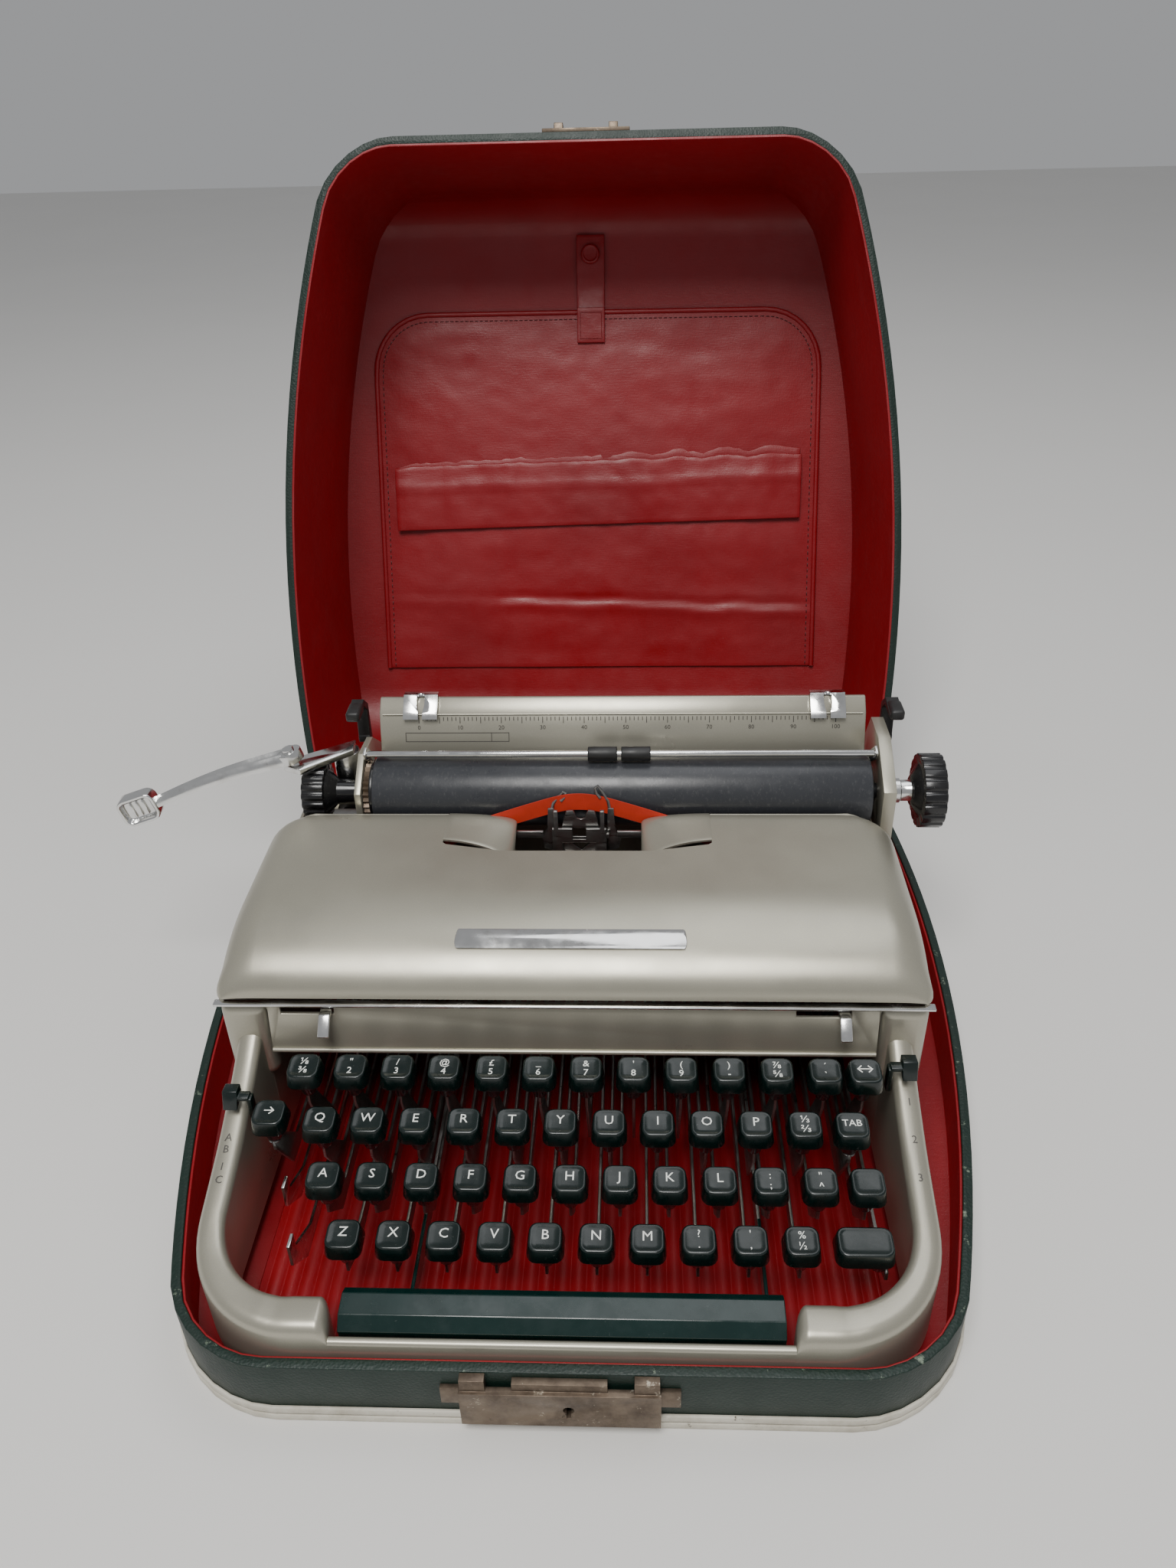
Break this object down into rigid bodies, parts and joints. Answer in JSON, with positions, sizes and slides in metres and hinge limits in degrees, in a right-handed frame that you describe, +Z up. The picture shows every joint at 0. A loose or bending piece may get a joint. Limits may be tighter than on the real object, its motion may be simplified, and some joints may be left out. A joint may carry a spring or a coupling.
{
  "type": "portable typewriter",
  "caption": "Manual portable typewriter with a rounded silver-grey hood and dark green keys, held in its own fitted carrying case whose red-lined lid stands open behind it.",
  "frame": {"origin": "centre of the case tray's flat underside", "axes": "+X to the typist's right, +Y from the space bar towards the hinged lid, +Z up"},
  "size_m": [0.4109, 0.6176, 0.3912],
  "materials": {
    "leatherette": "dark green grained leatherette, scuffed at the edges",
    "red_vinyl": "red vinyl cloth, satin",
    "white_piping": "white vinyl piping, grubby and frayed",
    "plated_steel": "dull plated steel",
    "dark_steel": "blackened steel",
    "aged_brass": "aged brass-plated steel, grimy",
    "handle_leather": "dark green stitched grip",
    "silver_paint": "warm silver-grey satin enamel",
    "chrome": "polished chrome",
    "rubber": "black rubber",
    "green_plastic": "dark green moulded plastic, glossy",
    "ribbon_cloth": "inked red ribbon",
    "platen_rubber": "hard dark grey rubber, faintly scored",
    "black_plastic": "black moulded plastic"
  },
  "bodies": {
    "case_and_frame": {"case_tray": "leatherette", "case_tray_lining": "red_vinyl", "case_tray_piping": "white_piping", "tray_hinge_leaf": "plated_steel", "lock_plate": "aged_brass", "base_frame": "silver_paint", "body_shell": "silver_paint", "front_panel": "silver_paint", "trim_strip": "chrome", "rubber_feet": "rubber", "frame_screws": "plated_steel", "carriage_rails": "plated_steel", "fulcrum_rod": "plated_steel", "ribbon": "ribbon_cloth"},
    "lid": {"case_lid": "leatherette", "case_lid_lining": "red_vinyl", "lid_pocket": "red_vinyl", "pocket_strap": "red_vinyl", "lid_hinge_leaf": "plated_steel", "lid_catch": "aged_brass", "handle_brackets": "aged_brass"},
    "handle": {"carry_handle": "handle_leather"},
    "hood": {"top_cover": "silver_paint", "badge": "chrome"},
    "latch_left": {"cover_latch_left": "chrome"},
    "latch_right": {"cover_latch_right": "chrome"},
    "ribbon_selector_arm": {"ribbon_selector": "green_plastic"},
    "touch_selector_arm": {"touch_selector": "green_plastic"},
    "drum": {"mainspring_drum": "plated_steel"},
    "spool_left": {"ribbon_spool_left": "dark_steel"},
    "spool_right": {"ribbon_spool_right": "dark_steel"},
    "type_basket": {"segment": "plated_steel", "typebars": "plated_steel", "type_guide": "plated_steel"},
    "truck": {"roller_truck": "plated_steel"},
    "carriage": {"carriage_frame": "silver_paint", "paper_table": "silver_paint"},
    "platen_roll": {"platen": "platen_rubber", "platen_knobs": "black_plastic"},
    "bail": {"paper_bail": "chrome"},
    "bail_roller_pair": {"bail_rollers": "rubber"},
    "lever_bracket": {"return_lever_bracket": "chrome"},
    "lever_arm": {"return_lever_arm": "chrome"},
    "release_left": {"release_lever_left": "dark_steel"},
    "release_right": {"release_lever_right": "dark_steel"},
    "margin_left": {"margin_stop_left": "chrome"},
    "margin_right": {"margin_stop_right": "chrome"},
    "keys_row1": {"key_caps_row1": "green_plastic", "key_levers_row1": "plated_steel"},
    "keys_row2": {"key_caps_row2": "green_plastic", "key_levers_row2": "plated_steel"},
    "keys_row3": {"key_caps_row3": "green_plastic", "key_levers_row3": "plated_steel"},
    "keys_row4": {"key_caps_row4": "green_plastic", "key_levers_row4": "plated_steel"},
    "space_key": {"space_bar": "green_plastic"},
    "shift": {"shift_key": "green_plastic", "shift_lock_lever": "chrome"},
    "backspace": {"backspace_key": "green_plastic"},
    "tabulator": {"tabulator_key": "green_plastic"}
  },
  "joints": [
    {"name": "lid_hinge", "type": "hinge", "parent": "case_and_frame", "child": "lid", "pos_m": [0, 0.187, 0.0313], "axis": [1, 0, 0], "range_deg": [0, 108]},
    {"name": "handle_lift", "type": "hinge", "parent": "lid", "child": "handle", "pos_m": [0, 0.34774, 0.37716], "axis": [1, 0, 0], "range_deg": [0, 90]},
    {"name": "hood_hinge", "type": "hinge", "parent": "case_and_frame", "child": "hood", "pos_m": [0, 0.0376, 0.1186], "axis": [1, 0, 0], "range_deg": [-50, 0]},
    {"name": "latch_left_push", "type": "slide", "parent": "case_and_frame", "child": "latch_left", "axis": [-1, 0, 0], "range_m": [0, 0.01]},
    {"name": "latch_right_push", "type": "slide", "parent": "case_and_frame", "child": "latch_right", "axis": [-1, 0, 0], "range_m": [0, 0.01]},
    {"name": "ribbon_selector_slide", "type": "slide", "parent": "case_and_frame", "child": "ribbon_selector_arm", "axis": [0, -0.8832, -0.4691], "range_m": [0, 0.024]},
    {"name": "touch_selector_slide", "type": "slide", "parent": "case_and_frame", "child": "touch_selector_arm", "axis": [0, -0.8832, -0.4691], "range_m": [0, 0.024]},
    {"name": "truck_right", "type": "slide", "parent": "case_and_frame", "child": "truck", "axis": [1, 0, 0], "range_m": [0, 0.09]},
    {"name": "carriage_left", "type": "slide", "parent": "truck", "child": "carriage", "axis": [-1, 0, 0], "range_m": [0, 0.107]},
    {"name": "drum_turn", "type": "hinge", "parent": "case_and_frame", "child": "drum", "pos_m": [-0.1, 0.07, 0.062], "axis": [0, 1, 0], "range_deg": [0, 350]},
    {"name": "platen_turn", "type": "hinge", "parent": "carriage", "child": "platen_roll", "pos_m": [0, 0.058, 0.118], "axis": [1, 0, 0], "continuous": true},
    {"name": "bail_lift", "type": "hinge", "parent": "carriage", "child": "bail", "pos_m": [0, 0.087, 0.112], "axis": [1, 0, 0], "range_deg": [-25, 0]},
    {"name": "bail_roller_turn", "type": "hinge", "parent": "bail", "child": "bail_roller_pair", "pos_m": [0, 0.0574, 0.1394], "axis": [1, 0, 0], "continuous": true},
    {"name": "lever_turn", "type": "hinge", "parent": "carriage", "child": "lever_bracket", "pos_m": [-0.117, 0.072, 0.12], "axis": [0, 0, 1], "range_deg": [0, 30], "stiffness_Nm_per_rad": 0.05},
    {"name": "lever_fold", "type": "hinge", "parent": "lever_bracket", "child": "lever_arm", "pos_m": [-0.137, 0.054, 0.1332], "axis": [-0.2924, 0, 0.9563], "range_deg": [0, 96]},
    {"name": "release_left_pull", "type": "hinge", "parent": "carriage", "child": "release_left", "pos_m": [0, 0.0945, 0.128], "axis": [1, 0, 0], "range_deg": [0, 20], "stiffness_Nm_per_rad": 0.05, "springref_deg": -11.46},
    {"name": "release_right_pull", "type": "hinge", "parent": "carriage", "child": "release_right", "pos_m": [0, 0.0945, 0.128], "axis": [1, 0, 0], "range_deg": [0, 20], "stiffness_Nm_per_rad": 0.05, "springref_deg": -11.46},
    {"name": "margin_left_slide", "type": "slide", "parent": "carriage", "child": "margin_left", "axis": [1, 0, 0], "range_m": [-0.008, 0.07]},
    {"name": "margin_right_slide", "type": "slide", "parent": "carriage", "child": "margin_right", "axis": [1, 0, 0], "range_m": [-0.07, 0.008]},
    {"name": "key_row1_press", "type": "hinge", "parent": "case_and_frame", "child": "keys_row1", "pos_m": [0, 0.064, 0.022], "axis": [1, 0, 0], "range_deg": [0, 3.6], "stiffness_Nm_per_rad": 8, "springref_deg": -3.44},
    {"name": "key_row2_press", "type": "hinge", "parent": "case_and_frame", "child": "keys_row2", "pos_m": [0, 0.064, 0.022], "axis": [1, 0, 0], "range_deg": [0, 3.6], "stiffness_Nm_per_rad": 8, "springref_deg": -3.44},
    {"name": "key_row3_press", "type": "hinge", "parent": "case_and_frame", "child": "keys_row3", "pos_m": [0, 0.064, 0.022], "axis": [1, 0, 0], "range_deg": [0, 3.6], "stiffness_Nm_per_rad": 8, "springref_deg": -3.44},
    {"name": "key_row4_press", "type": "hinge", "parent": "case_and_frame", "child": "keys_row4", "pos_m": [0, 0.064, 0.022], "axis": [1, 0, 0], "range_deg": [0, 3.6], "stiffness_Nm_per_rad": 8, "springref_deg": -3.44},
    {"name": "space_press", "type": "hinge", "parent": "case_and_frame", "child": "space_key", "pos_m": [0, 0.064, 0.022], "axis": [1, 0, 0], "range_deg": [0, 1.4], "stiffness_Nm_per_rad": 8, "springref_deg": -3.44},
    {"name": "shift_press", "type": "hinge", "parent": "case_and_frame", "child": "shift", "pos_m": [0, 0.064, 0.022], "axis": [1, 0, 0], "range_deg": [0, 3.6], "stiffness_Nm_per_rad": 6, "springref_deg": -2.86},
    {"name": "backspace_press", "type": "hinge", "parent": "case_and_frame", "child": "backspace", "pos_m": [0, 0.064, 0.022], "axis": [1, 0, 0], "range_deg": [0, 3.6], "stiffness_Nm_per_rad": 3, "springref_deg": -2.86},
    {"name": "tabulator_press", "type": "hinge", "parent": "case_and_frame", "child": "tabulator", "pos_m": [0, 0.064, 0.022], "axis": [1, 0, 0], "range_deg": [0, 3.6], "stiffness_Nm_per_rad": 3, "springref_deg": -2.86},
    {"name": "basket_drop", "type": "slide", "parent": "case_and_frame", "child": "type_basket", "axis": [0, 0, -1], "range_m": [0, 0.0051]},
    {"name": "spool_left_turn", "type": "hinge", "parent": "case_and_frame", "child": "spool_left", "pos_m": [-0.104, 0.002, 0.084], "axis": [0, 0, 1], "continuous": true},
    {"name": "spool_right_turn", "type": "hinge", "parent": "case_and_frame", "child": "spool_right", "pos_m": [0.104, 0.002, 0.084], "axis": [0, 0, 1], "continuous": true}
  ],
  "couplings": [
    {"joint": "lever_fold", "follows": "lid_hinge", "ratio": 0.88},
    {"joint": "drum_turn", "follows": "carriage_left", "rad_per_m": 57},
    {"joint": "basket_drop", "follows": "shift_press", "m_per_rad": 0.08},
    {"joint": "spool_right_turn", "follows": "spool_left_turn", "ratio": 1}
  ]
}
